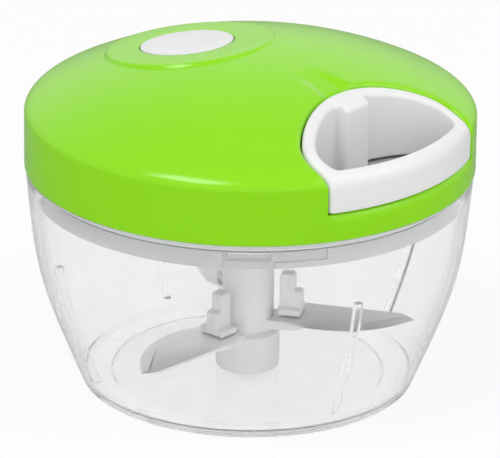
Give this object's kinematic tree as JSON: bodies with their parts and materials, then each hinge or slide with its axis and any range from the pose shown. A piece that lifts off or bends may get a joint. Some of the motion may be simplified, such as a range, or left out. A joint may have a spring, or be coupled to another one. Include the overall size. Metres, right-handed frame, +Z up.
{
  "type": "vegetable chopper",
  "caption": "Round pull-cord vegetable chopper: clear bowl, domed lid with a cord reel and pull handle, and a bladed rotor on a central pin.",
  "frame": {"origin": "centre of the bowl's foot on the surface that it stands on", "axes": "+Z up along the rotor's axis, +X towards the pull handle"},
  "size_m": [0.1256, 0.1256, 0.0967],
  "materials": {
    "clear_plastic": "clear moulded plastic, polished",
    "green_plastic": "lime green, glossy",
    "white_plastic": "white, satin gloss",
    "nylon": "natural nylon, matt",
    "steel": "stainless steel, fine ground",
    "silicone": "translucent silicone",
    "cord": "braided cord"
  },
  "bodies": {
    "bowl": {"bowl": "clear_plastic", "pivot_pin": "steel"},
    "rotor": {"blade_column": "white_plastic", "column_bush": "nylon", "blade_middle": "steel", "blade_upper": "steel", "blade_lower": "steel", "blade_clamp_middle": "white_plastic", "blade_clamp_upper": "white_plastic", "blade_clamp_lower": "white_plastic"},
    "lid": {"lid_cover": "green_plastic", "lid_disc": "white_plastic", "chassis": "white_plastic", "seal_ring": "silicone", "cord_guide": "steel", "cord_lead": "cord", "reel_bridge": "white_plastic", "reel_axle": "steel", "thrust_washer": "nylon", "return_spring": "steel", "lid_screw_1": "steel", "lid_screw_2": "steel", "lid_screw_3": "steel", "lid_screw_4": "steel", "bridge_screw_1": "steel", "bridge_screw_2": "steel", "bridge_screw_3": "steel"},
    "reel": {"cord_reel": "white_plastic", "cord_winding": "cord"},
    "pawl_a": {"pawl_1": "nylon"},
    "pawl_b": {"pawl_2": "nylon"},
    "drive": {"drive_cup": "nylon"},
    "handle": {"pull_handle": "white_plastic", "knot_cap": "white_plastic", "cord_tail": "cord", "cord_knot": "cord"}
  },
  "joints": [
    {"name": "lid_lift", "type": "slide", "parent": "bowl", "child": "lid", "axis": [0, 0, 1], "range_m": [0, 0.06]},
    {"name": "reel_spin", "type": "hinge", "parent": "lid", "child": "reel", "pos_m": [0, 0, 0.077], "axis": [0, 0, -1], "range_deg": [0, 1370], "stiffness_Nm_per_rad": 0.002, "springref_deg": -572.96, "deforming": ["return_spring", "cord_winding"]},
    {"name": "handle_pull", "type": "slide", "parent": "lid", "child": "handle", "axis": [1, 0, 0], "range_m": [0, 0.4975]},
    {"name": "drive_spin", "type": "hinge", "parent": "lid", "child": "drive", "pos_m": [0, 0, 0.0636], "axis": [0, 0, -1], "range_deg": [0, 1370]},
    {"name": "rotor_spin", "type": "hinge", "parent": "bowl", "child": "rotor", "pos_m": [0, 0, 0.0137], "axis": [0, 0, -1], "range_deg": [0, 1370]},
    {"name": "pawl_1_lift", "type": "hinge", "parent": "reel", "child": "pawl_a", "pos_m": [0, 0.014, 0.0676], "axis": [0, 0, -1], "range_deg": [0, 12]},
    {"name": "pawl_2_lift", "type": "hinge", "parent": "reel", "child": "pawl_b", "pos_m": [0, -0.014, 0.0676], "axis": [0, 0, -1], "range_deg": [0, 12]}
  ],
  "couplings": [
    {"joint": "handle_pull", "follows": "reel_spin", "m_per_rad": 0.0208},
    {"joint": "drive_spin", "follows": "reel_spin", "ratio": 1},
    {"joint": "rotor_spin", "follows": "reel_spin", "ratio": 1}
  ]
}
